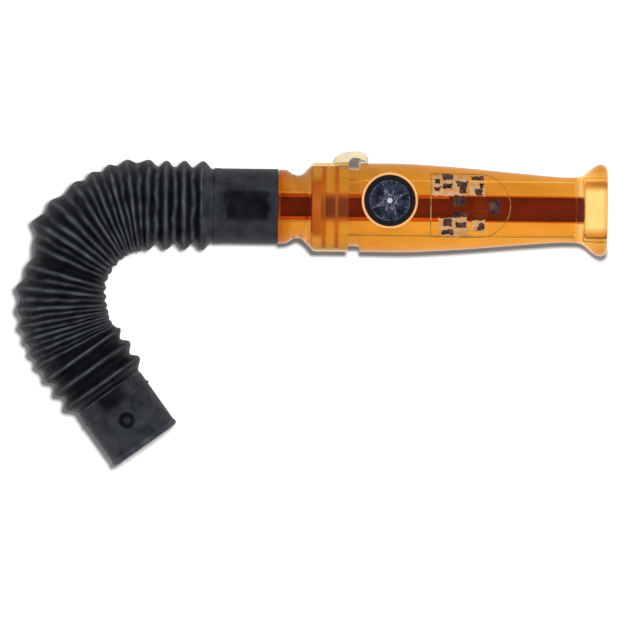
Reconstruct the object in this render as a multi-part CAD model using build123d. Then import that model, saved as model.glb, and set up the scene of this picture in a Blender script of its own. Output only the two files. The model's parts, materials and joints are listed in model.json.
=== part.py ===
from build123d import *
import os
from math import cos, radians, sin

# Grunt tube call: a thick amber barrel with a compass, blown at its flared mouth, and a corrugated
# rubber tube that carries the sound. Millimetres. The origin is the centre of the mouth opening,
# +X points out of the mouth, +Z out of the compass face, and the barrel's axis is the X axis.
# The call lies flat, so the corrugated tube bends in the XY plane.

# ---- driving dimensions -------------------------------------------------------------------------

# barrel
LIP_R = 18.0
LIP_ROUND = 3.2
LIP_FACE_R = 16.0
LIP_SHOULDER = (-0.9, 17.4)
FLARE_MIDDLE = (-7.2, 15.3)
FLARE_END = (-10.5, 12.95)
BELLY_R = 17.4
# (x, radius) of the swelling outside, from the flare to the straight belly
BARREL_WAIST = [(-15.0, 12.8), (-32.0, 13.9), (-55.0, 15.9), (-75.0, 17.2)]
BELLY_X = -84.0
BARREL_END_X = -97.0
TAIL_R = 15.2
TAIL_END_X = -115.0
EDGE_ROUND = 0.6
MOUTH_CUP_R = 11.5
MOUTH_CUP_DEPTH = 9.0
FRONT_WEB = 3.0
BORE_R = 10.0

# seal rings on the barrel's tail
SEAL_X = (-106.0, -111.0)
SEAL_MAJOR_R = 14.5
SEAL_MINOR_R = 0.7
SEAL_SIDE_GAP = 0.1

# compass, set in a raised rim on the barrel
COMPASS_X = -85.3
COMPASS_Y = 2.7
COMPASS_RIM_R = 11.3
COMPASS_RIM_TOP = 17.9
COMPASS_FLOOR = 12.2
CUP_R = 10.0
CUP_WALL = 1.6
CUP_FLOOR = 0.8
CUP_TOP = 17.7
LENS_R = 8.9
LENS_SEAT = 16.2
LENS_THICK = 0.9
LENS_RIM = 0.9
CARD_R = 7.9
CARD_Z = 14.9
CARD_THICK = 0.4
CARD_HOLE_R = 1.2
PIVOT_R = 0.5
PIVOT_TIP_R = 0.1
PIVOT_CONE = 0.55
PIVOT_TOP = CARD_Z - 0.05
PIVOT_FOOT_R = 2.0
PIVOT_FOOT = 0.3
MAGNET_LONG = 11.0
MAGNET_WIDE = 2.4
MAGNET_THICK = 0.5
MAGNET_HOLE_R = 1.7
JEWEL_BELOW = 0.4
JEWEL_ABOVE = 0.7
JEWEL_BORE_R = 0.75
JEWEL_BORE_TOP = CARD_Z + 0.2
GLUE_GAP = 0.05

# rear connector and the lanyard loop on it
GROOVE = 4.4
FIT = 0.08
SLEEVE_END_X = -116.0
SLEEVE_CORNER_X = -115.0
SHOULDER_X = -118.2
SHOULDER_R = 14.1
NECK_R = 12.3
NECK_X = -121.5
FLANGE_R = 14.5
FLANGE_X = -125.8
FLANGE_END_X = -128.8
SPIGOT_R = 12.4
SPIGOT_END_X = -147.0
SPIGOT_BORE_R = 10.4
SPIGOT_LEAD = 1.0
SPIGOT_LEAD_DROP = 0.8
BORE_STEP = 2.0
BEAD_X = -143.5
BEAD_R = 12.9
BEAD_WIDE = 2.0
BEAD_FLAT = 0.6
LOOP_THICK = 6.0
LOOP_EYE_TOP = 19.5
LOOP_REAR_X = -107.4
LOOP_NOSE = (-93.8, 18.8)
# (x, y) of the arch's back, from its rear foot to its nose
LOOP_BACK = [(-105.4, 20.4), (-102.4, 21.6), (-98.6, 22.1), (-95.4, 21.0)]
LOOP_CLEAR = 0.35
LOOP_LIP = 0.3
LOOP_SLOPE = 0.6
LOOP_ROOT = 3.0

# reed and sound tubes on the axis
TUBE_R = 5.0
TUBE_BORE_R = 4.2
TUBE_JOIN_X = -62.0
TUBE_END_X = -128.0
TUBE_CLEAR = 0.35
SOCKET_DEPTH = 6.0
SOCKET_WALL = 0.4
TAIL_WEB = 3.0
BOARD_R = 3.0
BOARD_FRONT_X = -18.0
BOARD_REAR_X = -52.0
BOARD_TOP_Z = -0.4
BOARD_PLUG = 5.0
TROUGH_WIDE = 2.8
TROUGH_DEEP = 1.5
TROUGH_END_X = -22.25
REED_WIDE = 5.2
REED_THICK = 0.2
REED_TIP_X = -20.0
REED_ROOT_X = -46.0
REED_GAP = 0.1
WEDGE_X = -44.0
WEDGE_NOSE_LONG = 3.0
WEDGE_NOSE_R = 2.0
WEDGE_LIFT = 0.15
WEDGE_FOOT_GAP = 0.5
TUNING_X = -36.0
TUNING_MINOR_R = 0.4
TUNING_CLEAR = 0.1

# corrugated tube
RIB_R = 17.6
ROOT_R = 14.4
HOSE_BORE_R = 12.9
CUFF_R = 14.7
CUFF_CHAMFER = 0.4
CUFF_STEP = 0.6
NEAR_CUFF_END_X = -154.4
CUFF_CLEAR = 0.1
BEAD_SEAT_SIDE = 0.5
BEAD_SEAT_DEEP = 0.3
FAR_CUFF_LONG = 25.0
FAR_BORE_R = 13.2
FAR_BORE_DEEP = 20.0
RIM_R = 15.0
RIM_LONG = 2.2
RIM_STEP = 0.3
BAND_X = 5.0
BAND_WIDE = 1.2
BAND_R = 15.3
RIB_GAP = 0.3
RIB_CREST_HALF = 0.45
RIB_FOOT_HALF = 1.9
RIB_REACH = 6.0
RIB_HOLLOW = 2.0
RIB_HOLLOW_HALF = 0.9
# one entry per gap between ribs, from the near cuff to the far cuff: the step from rib to rib, how
# far the tube turns there in degrees, and how far the step leans off the folds' own direction
PITCHES = [4.1, 7.3, 7.1, 7.0, 5.9, 5.1, 4.9, 4.8, 7.0, 7.2, 6.0, 6.3,
           6.4, 6.0, 4.7, 3.9, 4.0, 3.8, 4.3, 6.6, 7.0, 4.6]
TURNS = [0, 0, 0, 0, 8, 8, 8, 9, 11, 12, 10, 9, 10, 9, 7, 6, 6, 5, 8, 0, 0, 0]
LEANS = [0, 0, 0, 0, -1, 4, 4, 4, 4, 2, 5, 4, 4, 4, 1, 4, 3, 6, 10, 0, -1, 0]


# ---- helpers ------------------------------------------------------------------------------------

def turned(corners):
    """Solid of revolution about the X axis, from (x, radius) corners."""
    return revolve(make_face(Polyline(*corners, close=True)), axis=Axis.X)


def upright(radius, bottom, top):
    """Round post standing on the compass's centre, from one height to another."""
    post = Cylinder(radius, top - bottom, align=(Align.CENTER, Align.CENTER, Align.MIN))
    return Pos(COMPASS_X, COMPASS_Y, bottom) * post


def block(low, high):
    """Box from its lowest to its highest corner."""
    size = [b - a for a, b in zip(low, high)]
    middle = [(a + b) / 2 for a, b in zip(low, high)]
    return Pos(*middle) * Box(*size)


def axis_ring(x, major, minor):
    """Round-section ring about the X axis."""
    return Pos(x, 0, 0) * Rot(0, 90, 0) * Torus(major, minor)


def beyond(shape, point, heading, keep):
    """Part of a shape on one side of a plane that stands across the tube's route."""
    forward = (-cos(radians(heading)), -sin(radians(heading)), 0)
    return split(shape, bisect_by=Plane(origin=point, z_dir=forward), keep=keep)


def save(shape, name):
    export_step(shape, f"parts/{name}.step")


# ---- barrel -------------------------------------------------------------------------------------

def make_barrel():
    tail_x = BARREL_END_X
    lip_top = (-LIP_ROUND, LIP_R)
    outside = [
        Line((0, MOUTH_CUP_R), (0, LIP_FACE_R)),
        Spline((0, LIP_FACE_R), LIP_SHOULDER, lip_top, tangents=((0.0, 1.0), (-1.0, 0.0))),
        Spline(lip_top, FLARE_MIDDLE, FLARE_END, *BARREL_WAIST, (BELLY_X, BELLY_R),
               tangents=((-1.0, 0.0), (-1.0, 0.0))),
        Line((BELLY_X, BELLY_R), (tail_x + EDGE_ROUND, BELLY_R)),
        RadiusArc((tail_x + EDGE_ROUND, BELLY_R), (tail_x, BELLY_R - EDGE_ROUND), EDGE_ROUND),
        Line((tail_x, BELLY_R - EDGE_ROUND), (tail_x, TAIL_R)),
        Line((tail_x, TAIL_R), (TAIL_END_X + EDGE_ROUND, TAIL_R)),
        Line((TAIL_END_X + EDGE_ROUND, TAIL_R), (TAIL_END_X, TAIL_R - EDGE_ROUND)),
        Line((TAIL_END_X, TAIL_R - EDGE_ROUND), (TAIL_END_X, BORE_R)),
        Line((TAIL_END_X, BORE_R), (-MOUTH_CUP_DEPTH - FRONT_WEB, BORE_R)),
        Line((-MOUTH_CUP_DEPTH - FRONT_WEB, BORE_R), (-MOUTH_CUP_DEPTH - FRONT_WEB, TUBE_R)),
        Line((-MOUTH_CUP_DEPTH - FRONT_WEB, TUBE_R), (-MOUTH_CUP_DEPTH, TUBE_R)),
        Line((-MOUTH_CUP_DEPTH, TUBE_R), (-MOUTH_CUP_DEPTH, MOUTH_CUP_R)),
        Line((-MOUTH_CUP_DEPTH, MOUTH_CUP_R), (0, MOUTH_CUP_R)),
    ]
    barrel = revolve(make_face(Curve() + outside), axis=Axis.X)
    for x in SEAL_X:
        barrel -= seal_groove(x)
    rim = upright(COMPASS_RIM_R, COMPASS_FLOOR, COMPASS_RIM_TOP)
    rim = fillet(rim.edges().sort_by(Axis.Z)[-1], EDGE_ROUND)
    barrel = barrel + rim
    pocket = upright(CUP_R + GLUE_GAP, COMPASS_FLOOR, LIP_R + 2.0)
    return barrel - pocket


def seal_groove(x):
    """Square groove that a seal ring sits in."""
    half = SEAL_MINOR_R + SEAL_SIDE_GAP
    floor = SEAL_MAJOR_R - SEAL_MINOR_R
    outside = TAIL_R + 1
    return turned([(x - half, floor), (x + half, floor), (x + half, outside), (x - half, outside)])


def make_tail_web():
    """Ring pressed into the barrel's tail, which holds the rear of the sound tube."""
    return turned([(TAIL_END_X, TUBE_R), (TAIL_END_X + TAIL_WEB, TUBE_R),
                   (TAIL_END_X + TAIL_WEB, BORE_R), (TAIL_END_X, BORE_R)])


# ---- reed and sound tubes -----------------------------------------------------------------------

def make_reed_tube():
    front = -MOUTH_CUP_DEPTH
    return turned([(front, TUBE_BORE_R), (front, TUBE_R), (TUBE_JOIN_X, TUBE_R),
                   (TUBE_JOIN_X, TUBE_BORE_R)])


def make_sound_tube():
    """Rear tube, with a thin nose that plugs into the reed tube."""
    nose_x = TUBE_JOIN_X + SOCKET_DEPTH
    inner_r = TUBE_BORE_R - 2 * SOCKET_WALL
    return turned([(TUBE_END_X, inner_r), (TUBE_END_X, TUBE_R), (TUBE_JOIN_X, TUBE_R),
                   (TUBE_JOIN_X, TUBE_BORE_R), (nose_x, TUBE_BORE_R), (nose_x, inner_r)])


def make_tone_board():
    """Half-round board with a trough under the reed and a full-round plug at its root."""
    rod = turned([(BOARD_REAR_X, 0), (BOARD_REAR_X, BOARD_R), (BOARD_FRONT_X, BOARD_R), (BOARD_FRONT_X, 0)])
    above = block((BOARD_REAR_X, -BOARD_R, BOARD_TOP_Z), (BOARD_FRONT_X, BOARD_R, BOARD_R))
    trough_low = (BOARD_REAR_X, -TROUGH_WIDE / 2, BOARD_TOP_Z - TROUGH_DEEP)
    trough = block(trough_low, (TROUGH_END_X, TROUGH_WIDE / 2, BOARD_TOP_Z))
    plug_front = BOARD_REAR_X + BOARD_PLUG
    plug = turned([(BOARD_REAR_X, BOARD_R), (BOARD_REAR_X, TUBE_BORE_R), (plug_front, TUBE_BORE_R),
                   (plug_front, BOARD_R)])
    plug_low = block((BOARD_REAR_X, -TUBE_BORE_R, -TUBE_BORE_R), (plug_front, TUBE_BORE_R, BOARD_TOP_Z))
    return rod - above + (plug & plug_low) - trough


def make_reed():
    bottom = BOARD_TOP_Z + REED_GAP
    return block((REED_ROOT_X, -REED_WIDE / 2, bottom), (REED_TIP_X, REED_WIDE / 2, bottom + REED_THICK))


def make_reed_wedge():
    """Half-round wedge that closes the tube above the reed's root."""
    bottom = BOARD_TOP_Z + REED_GAP + REED_THICK + WEDGE_LIFT
    round_bar = turned([(BOARD_REAR_X, 0), (BOARD_REAR_X, TUBE_BORE_R),
                        (WEDGE_X - WEDGE_NOSE_LONG, TUBE_BORE_R), (WEDGE_X, WEDGE_NOSE_R), (WEDGE_X, 0)])
    upper = block((BOARD_REAR_X, -TUBE_BORE_R, bottom), (WEDGE_X, TUBE_BORE_R, TUBE_BORE_R))
    foot_front = REED_ROOT_X - WEDGE_FOOT_GAP
    foot = block((BOARD_REAR_X, -BOARD_R, BOARD_TOP_Z), (foot_front, BOARD_R, bottom))
    return round_bar & (upper + foot)


def make_tuning_ring():
    return axis_ring(TUNING_X, BOARD_R + TUNING_CLEAR + TUNING_MINOR_R, TUNING_MINOR_R)


# ---- compass ------------------------------------------------------------------------------------

def make_compass_cup():
    body = upright(CUP_R, COMPASS_FLOOR, CUP_TOP)
    well = upright(CUP_R - CUP_WALL, COMPASS_FLOOR + CUP_FLOOR, CUP_TOP + 1)
    seat = upright(LENS_R + GLUE_GAP, LENS_SEAT, CUP_TOP + 1)
    return body - well - seat


def make_compass_pivot():
    floor = COMPASS_FLOOR + CUP_FLOOR
    cone_foot = PIVOT_TOP - PIVOT_CONE
    post = upright(PIVOT_R, floor, cone_foot)
    cone = Cone(PIVOT_R, PIVOT_TIP_R, PIVOT_CONE, align=(Align.CENTER, Align.CENTER, Align.MIN))
    foot = upright(PIVOT_FOOT_R, floor, floor + PIVOT_FOOT)
    return foot + post + Pos(COMPASS_X, COMPASS_Y, cone_foot) * cone


def make_compass_card():
    card = upright(CARD_R, CARD_Z, CARD_Z + CARD_THICK)
    return card - upright(CARD_HOLE_R, CARD_Z - 1, CARD_Z + 1)


def make_compass_magnet():
    """Bar magnet under the card, split round the jewel."""
    wide, long = MAGNET_WIDE / 2, MAGNET_LONG / 2
    bar = block((COMPASS_X - wide, COMPASS_Y - long, CARD_Z - MAGNET_THICK),
                (COMPASS_X + wide, COMPASS_Y + long, CARD_Z))
    return bar - upright(MAGNET_HOLE_R, CARD_Z - 1, CARD_Z + 1)


def make_compass_jewel():
    """Cap that carries the card on the pivot's point."""
    cap = upright(CARD_HOLE_R, CARD_Z - JEWEL_BELOW, CARD_Z + JEWEL_ABOVE)
    return cap - upright(JEWEL_BORE_R, CARD_Z - 1, JEWEL_BORE_TOP)


def make_compass_lens():
    return upright(LENS_R, LENS_SEAT, LENS_SEAT + LENS_THICK)


def make_compass_retainer():
    low = LENS_SEAT + LENS_THICK
    ring = upright(LENS_R, low, CUP_TOP)
    return ring - upright(LENS_R - LENS_RIM, low - 1, CUP_TOP + 1)


# ---- rear connector -----------------------------------------------------------------------------

def make_connector():
    """Sleeve over the barrel's tail, a waisted neck, a flange and the spigot for the tube."""
    front = BARREL_END_X - GROOVE
    inner = TAIL_R + FIT
    tube_r = TUBE_R + TUBE_CLEAR
    outline = [
        Line((front, inner), (front, BELLY_R - EDGE_ROUND)),
        RadiusArc((front, BELLY_R - EDGE_ROUND), (front - EDGE_ROUND, BELLY_R), EDGE_ROUND),
        Line((front - EDGE_ROUND, BELLY_R), (SLEEVE_CORNER_X, BELLY_R)),
        Line((SLEEVE_CORNER_X, BELLY_R), (SHOULDER_X, SHOULDER_R)),
        Spline((SHOULDER_X, SHOULDER_R), (NECK_X, NECK_R), (FLANGE_X, FLANGE_R),
               tangents=((-0.7, -1.0), (-0.7, 1.0))),
        Line((FLANGE_X, FLANGE_R), (FLANGE_END_X, FLANGE_R)),
        Line((FLANGE_END_X, FLANGE_R), (FLANGE_END_X, SPIGOT_R)),
        Line((FLANGE_END_X, SPIGOT_R), (SPIGOT_END_X + SPIGOT_LEAD, SPIGOT_R)),
        Line((SPIGOT_END_X + SPIGOT_LEAD, SPIGOT_R), (SPIGOT_END_X, SPIGOT_R - SPIGOT_LEAD_DROP)),
        Line((SPIGOT_END_X, SPIGOT_R - SPIGOT_LEAD_DROP), (SPIGOT_END_X, SPIGOT_BORE_R)),
        Line((SPIGOT_END_X, SPIGOT_BORE_R), (FLANGE_END_X - BORE_STEP, SPIGOT_BORE_R)),
        Line((FLANGE_END_X - BORE_STEP, SPIGOT_BORE_R), (FLANGE_END_X, tube_r)),
        Line((FLANGE_END_X, tube_r), (SLEEVE_END_X, tube_r)),
        Line((SLEEVE_END_X, tube_r), (SLEEVE_END_X, inner)),
        Line((SLEEVE_END_X, inner), (front, inner)),
    ]
    connector = revolve(make_face(Curve() + outline), axis=Axis.X)
    half, flat, foot = BEAD_WIDE / 2, BEAD_FLAT / 2, SPIGOT_R - 0.5
    bead = turned([(BEAD_X - half, foot), (BEAD_X - half, SPIGOT_R), (BEAD_X - flat, BEAD_R),
                   (BEAD_X + flat, BEAD_R), (BEAD_X + half, SPIGOT_R), (BEAD_X + half, foot)])
    return connector + bead


def make_lanyard_loop():
    """Arched lug on the connector that reaches over the groove, for a neck cord."""
    groove_rear = BARREL_END_X - GROOVE
    root = BELLY_R - LOOP_ROOT
    foot = BELLY_R + LOOP_CLEAR
    lip_x = BARREL_END_X + LOOP_LIP
    roof_x = BARREL_END_X - LOOP_SLOPE
    arch = [
        Line((LOOP_REAR_X, root), (LOOP_REAR_X, BELLY_R)),
        Spline((LOOP_REAR_X, BELLY_R), *LOOP_BACK, LOOP_NOSE, tangents=((0.4, 1.0), (0.1, -1.0))),
        Line(LOOP_NOSE, (LOOP_NOSE[0], foot)),
        Line((LOOP_NOSE[0], foot), (lip_x, foot)),
        Line((lip_x, foot), (roof_x, LOOP_EYE_TOP)),
        Line((roof_x, LOOP_EYE_TOP), (groove_rear, LOOP_EYE_TOP)),
        Line((groove_rear, LOOP_EYE_TOP), (groove_rear, root)),
        Line((groove_rear, root), (LOOP_REAR_X, root)),
    ]
    lug = extrude(make_face(Curve() + arch), LOOP_THICK / 2, both=True)
    sleeve_space = turned([(LOOP_REAR_X - 1, 0), (LOOP_REAR_X - 1, BELLY_R), (groove_rear, BELLY_R),
                           (groove_rear, 0)])
    return lug - sleeve_space


# ---- corrugated tube ----------------------------------------------------------------------------

def route():
    """Centres and headings of the ribs, then of the far cuff's start, and the planes between them.

    A heading of 0 runs along -X, and a positive turn is to the left, seen from +Z.
    """
    x, y, heading = NEAR_CUFF_END_X, 0.0, 0.0
    stations, gaps = [], []
    for pitch, turn, lean in zip(PITCHES, TURNS, LEANS):
        middle = heading + turn / 2
        direction = radians(middle + lean)
        next_x = x - pitch * cos(direction)
        next_y = y - pitch * sin(direction)
        gaps.append((((x + next_x) / 2, (y + next_y) / 2), middle))
        heading += turn
        x, y = next_x, next_y
        stations.append(((x, y), heading))
    return stations, gaps


def trimmed(shape, behind, ahead):
    """Keep what lies between two gap planes, each half a gap away."""
    for gap, side in ((behind, 1), (ahead, -1)):
        if gap is None:
            continue
        (x, y), heading = gap
        offset = side * RIB_GAP / 2
        point = (x - offset * cos(radians(heading)), y - offset * sin(radians(heading)), 0)
        shape = beyond(shape, point, heading, Keep.TOP if side > 0 else Keep.BOTTOM)
    return shape


def rib_blank():
    """One hollow rib on a short length of tube, long enough for the widest gap."""
    return turned([(-RIB_REACH, ROOT_R), (-RIB_FOOT_HALF, ROOT_R), (-RIB_CREST_HALF, RIB_R),
                   (RIB_CREST_HALF, RIB_R), (RIB_FOOT_HALF, ROOT_R), (RIB_REACH, ROOT_R),
                   (RIB_REACH, HOSE_BORE_R), (RIB_HOLLOW_HALF, HOSE_BORE_R),
                   (0, HOSE_BORE_R + RIB_HOLLOW), (-RIB_HOLLOW_HALF, HOSE_BORE_R),
                   (-RIB_REACH, HOSE_BORE_R)])


def make_near_cuff(first_gap):
    """Smooth cuff over the spigot, with a seat inside for the spigot's bead."""
    fit_r = SPIGOT_R + FIT
    mouth_x = FLANGE_END_X - CUFF_CLEAR
    open_x = SPIGOT_END_X - 1.0
    seat_half = BEAD_WIDE / 2 + BEAD_SEAT_SIDE
    seat_r = BEAD_R + BEAD_SEAT_DEEP
    end_x = NEAR_CUFF_END_X - RIB_REACH
    cuff = turned([(mouth_x, fit_r), (mouth_x, CUFF_R - CUFF_CHAMFER), (mouth_x - CUFF_CHAMFER, CUFF_R),
                   (NEAR_CUFF_END_X, CUFF_R), (NEAR_CUFF_END_X - CUFF_STEP, ROOT_R), (end_x, ROOT_R),
                   (end_x, HOSE_BORE_R), (open_x, HOSE_BORE_R), (open_x, fit_r),
                   (BEAD_X - seat_half, fit_r), (BEAD_X - seat_half, seat_r),
                   (BEAD_X + seat_half, seat_r), (BEAD_X + seat_half, fit_r)])
    return trimmed(cuff, None, first_gap)


def make_far_cuff(start, heading, last_gap):
    """Smooth cuff at the free end, with a raised band, an end rim and a bore to plug into."""
    (x, y) = start
    end = -FAR_CUFF_LONG
    rim_x = end + RIM_LONG
    band_half = BAND_WIDE / 2
    bore_end = end + FAR_BORE_DEEP
    cuff = turned([(RIB_REACH, HOSE_BORE_R), (RIB_REACH, ROOT_R), (CUFF_STEP, ROOT_R), (0, CUFF_R),
                   (rim_x, CUFF_R), (rim_x - RIM_STEP, RIM_R), (end + CUFF_CHAMFER, RIM_R),
                   (end, RIM_R - CUFF_CHAMFER), (end, FAR_BORE_R), (bore_end, FAR_BORE_R),
                   (bore_end, HOSE_BORE_R)])
    band = turned([(-BAND_X - band_half, CUFF_R - 0.5), (-BAND_X - band_half, BAND_R),
                   (-BAND_X + band_half, BAND_R), (-BAND_X + band_half, CUFF_R - 0.5)])
    return trimmed(Pos(x, y, 0) * Rot(0, 0, heading) * (cuff + band), last_gap, None)


# ---- build --------------------------------------------------------------------------------------

def main():
    os.makedirs("parts", exist_ok=True)

    save(make_barrel(), "barrel")
    save(make_tail_web(), "tail_web")
    for x, name in zip(SEAL_X, ("seal_ring_front", "seal_ring_rear")):
        save(axis_ring(x, SEAL_MAJOR_R, SEAL_MINOR_R), name)
    save(make_reed_tube(), "reed_tube")
    save(make_sound_tube(), "sound_tube")
    save(make_tone_board(), "tone_board")
    save(make_reed(), "reed")
    save(make_reed_wedge(), "reed_wedge")
    save(make_tuning_ring(), "tuning_ring")

    save(make_compass_cup(), "compass_cup")
    save(make_compass_pivot(), "compass_pivot")
    save(make_compass_card(), "compass_card")
    save(make_compass_magnet(), "compass_magnet")
    save(make_compass_jewel(), "compass_jewel")
    save(make_compass_lens(), "compass_lens")
    save(make_compass_retainer(), "compass_retainer")

    save(make_connector(), "tube_connector")
    save(make_lanyard_loop(), "lanyard_loop")

    stations, gaps = route()
    save(make_near_cuff(gaps[0]), "hose_near_cuff")
    blank = rib_blank()
    ribs = len(stations) - 1
    for i in range(ribs):
        (x, y), heading = stations[i]
        rib = trimmed(Pos(x, y, 0) * Rot(0, 0, heading) * blank, gaps[i], gaps[i + 1])
        save(rib, f"hose_ring_{i + 1:02d}")
    start, heading = stations[ribs]
    save(make_far_cuff(start, heading, gaps[ribs]), "hose_far_cuff")


main()
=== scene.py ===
import json
from math import cos, degrees, pi, radians, sin, sqrt

import bmesh
import bpy
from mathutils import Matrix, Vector, noise

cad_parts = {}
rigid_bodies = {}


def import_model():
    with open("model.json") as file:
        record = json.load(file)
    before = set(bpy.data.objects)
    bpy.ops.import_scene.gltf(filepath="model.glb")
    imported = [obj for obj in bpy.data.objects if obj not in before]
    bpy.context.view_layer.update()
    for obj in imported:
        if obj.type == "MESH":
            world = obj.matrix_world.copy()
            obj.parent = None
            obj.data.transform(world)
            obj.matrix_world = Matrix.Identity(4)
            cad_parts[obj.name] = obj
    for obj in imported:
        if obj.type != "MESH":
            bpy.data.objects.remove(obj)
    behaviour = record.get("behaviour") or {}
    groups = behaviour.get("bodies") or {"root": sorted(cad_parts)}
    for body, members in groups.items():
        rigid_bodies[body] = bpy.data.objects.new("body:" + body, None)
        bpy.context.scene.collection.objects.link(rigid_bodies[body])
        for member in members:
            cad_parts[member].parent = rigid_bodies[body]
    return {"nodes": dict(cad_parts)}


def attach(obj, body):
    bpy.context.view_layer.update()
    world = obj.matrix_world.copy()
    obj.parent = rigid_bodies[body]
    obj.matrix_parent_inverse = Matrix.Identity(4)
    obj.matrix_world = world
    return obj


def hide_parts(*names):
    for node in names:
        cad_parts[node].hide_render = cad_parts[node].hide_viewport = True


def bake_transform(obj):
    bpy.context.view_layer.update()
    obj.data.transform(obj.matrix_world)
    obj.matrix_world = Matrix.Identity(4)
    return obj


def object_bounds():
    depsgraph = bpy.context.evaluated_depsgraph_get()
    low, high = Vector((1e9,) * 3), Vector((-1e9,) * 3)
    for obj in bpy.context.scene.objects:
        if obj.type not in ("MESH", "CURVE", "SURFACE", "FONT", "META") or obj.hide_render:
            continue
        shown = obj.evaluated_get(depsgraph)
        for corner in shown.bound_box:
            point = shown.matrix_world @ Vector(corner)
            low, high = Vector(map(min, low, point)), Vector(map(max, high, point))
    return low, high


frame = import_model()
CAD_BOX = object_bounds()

# Grunt tube call: amber barrel with a compass, and a corrugated rubber tube. Lengths below are in
# millimetres in the row's frame, and MM turns them into metres when a mesh is made.
MM = 0.001
# points round the call's axis
AROUND = 144

# ---- camera, floor and lights ----

VIEW_CENTRE = (-115.0, -41.4)
VIEW_HEIGHT = 5000.0
VIEW_WIDE = 245.0
VIEW_ROLL = 0.69
SENSOR = 36.0
FLOOR_HALF = 3000.0
FLOOR_GAP = 0.2
KEY_PLACE = (-60.0, 55.0, 1500.0)
KEY_WIDE = 160.0
KEY_WATTS = 24.5
STUDIO_STRENGTH = 0.33


def make_camera():
    """Camera far above the call, so that it sees it almost without perspective."""
    data = bpy.data.cameras.new("camera")
    data.sensor_width = SENSOR
    data.lens = SENSOR * VIEW_HEIGHT / VIEW_WIDE
    data.clip_start = 0.05
    data.clip_end = 20.0
    camera = bpy.data.objects.new("camera", data)
    camera.location = (VIEW_CENTRE[0] * MM, VIEW_CENTRE[1] * MM, VIEW_HEIGHT * MM)
    camera.rotation_euler = (0.0, 0.0, radians(VIEW_ROLL))
    bpy.context.scene.collection.objects.link(camera)
    bpy.context.scene.camera = camera


def make_floor():
    """Plain white floor just under the call."""
    bm = bmesh.new()
    bmesh.ops.create_grid(bm, x_segments=1, y_segments=1, size=FLOOR_HALF * MM)
    mesh = bpy.data.meshes.new("floor")
    bm.to_mesh(mesh)
    bm.free()
    floor = bpy.data.objects.new("floor", mesh)
    floor.location = (0.0, 0.0, CAD_BOX[0].z - FLOOR_GAP * MM)
    bpy.context.scene.collection.objects.link(floor)
    mesh.materials.append(new_material("floor_white", (0.93, 0.93, 0.93), 0.9, Specular_IOR_Level=0.1))


def make_studio():
    """Soft white light from all round."""
    world = bpy.data.worlds.new("studio")
    world.use_nodes = True
    background = world.node_tree.nodes["Background"]
    background.inputs["Color"].default_value = (1.0, 1.0, 1.0, 1.0)
    background.inputs["Strength"].default_value = STUDIO_STRENGTH
    bpy.context.scene.world = world
    bpy.context.scene.view_settings.view_transform = "Standard"


def make_key_light():
    """Round lamp that leaves no image of itself on or in the glossy parts."""
    data = bpy.data.lights.new("key", "AREA")
    data.shape = "DISK"
    data.size = KEY_WIDE * MM
    data.energy = KEY_WATTS
    lamp = bpy.data.objects.new("key", data)
    place = Vector(KEY_PLACE) * MM
    target = Vector((*VIEW_CENTRE, 0.0)) * MM
    lamp.location = place
    lamp.rotation_mode = "QUATERNION"
    lamp.rotation_quaternion = (target - place).to_track_quat("-Z", "Y")
    lamp.visible_camera = False
    lamp.visible_glossy = False
    lamp.visible_transmission = False
    bpy.context.scene.collection.objects.link(lamp)


# ---- materials ----

# how strongly a clear plastic bends light, and the lowest and highest roughness of its face
BEND = 1.12
WEAK_BEND = 1.05
SEAL_BEND = 1.02
POLISHED = (0.03, 0.12)
FROSTED = (0.5, 0.75)
THIN_AMBER = ((0.92, 0.70, 0.26), (0.80, 0.55, 0.17))
# clear plastics: light and dark colour of the flow marks, clearness, bend, roughness
CLEAR_PLASTICS = {
    "amber": ((0.90, 0.49, 0.082), (0.70, 0.32, 0.038), 0.99, BEND, POLISHED),
    "amber_thin": (*THIN_AMBER, 0.99, BEND, POLISHED),
    "amber_frost": (*THIN_AMBER, 0.99, BEND, FROSTED),
    "amber_inside": ((0.99, 0.95, 0.88), (0.97, 0.92, 0.83), 0.99, WEAK_BEND, POLISHED),
    "amber_rim": ((0.80, 0.44, 0.18), (0.70, 0.35, 0.12), 0.2, BEND, POLISHED),
    "pale_amber": ((0.98, 0.86, 0.60), (0.90, 0.72, 0.44), 0.4, BEND, POLISHED),
    "clear_red": ((0.78, 0.24, 0.06), (0.70, 0.17, 0.04), 0.99, WEAK_BEND, POLISHED),
    "seal": ((0.86, 0.42, 0.12), (0.78, 0.34, 0.08), 0.85, SEAL_BEND, POLISHED),
    "web": ((0.72, 0.26, 0.05), (0.60, 0.18, 0.03), 0.5, SEAL_BEND, POLISHED),
}
# printing inks: colour where the ink is thick and where it has worn thin
INKS = {
    "ink_dark": ((0.010, 0.009, 0.014), (0.10, 0.045, 0.03)),
    "ink_line": ((0.16, 0.08, 0.02), (0.40, 0.22, 0.06)),
    "ink_cream": ((0.46, 0.19, 0.045), (0.47, 0.32, 0.19)),
}
# grain of the procedural noises, in waves per metre
FLOW_GRAIN = 70.0
TINT_GRAIN = 110.0
FINE_GRAIN = 420.0
INK_GRAIN = 450.0
# darkest and lightest tint of the rear and the lip, of the red foot by the tube, and of the mouth
DEEP_TINT = ((0.504, 0.2436, 0.0378), (0.78, 0.377, 0.0585))
FOOT_TINT = ((0.42, 0.09, 0.008), (0.55, 0.15, 0.015))
MOUTH_TINT = (0.97, 0.92, 0.66)
# where the tints fade in, from nothing to full
REAR_FADE_X = (-50.0, -100.0)
FOOT_FADE_X = (-124.5, -128.6)
LIP_FADE_X = (-7.0, -3.0)
LIP_FADE_Y = (8.0, 12.0)
MOUTH_FADE_X = (-12.5, -7.0)
MOUTH_FADE_Y = (12.0, 7.0)
MOUTH_EDGE_X = (0.2, -2.2)


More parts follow.
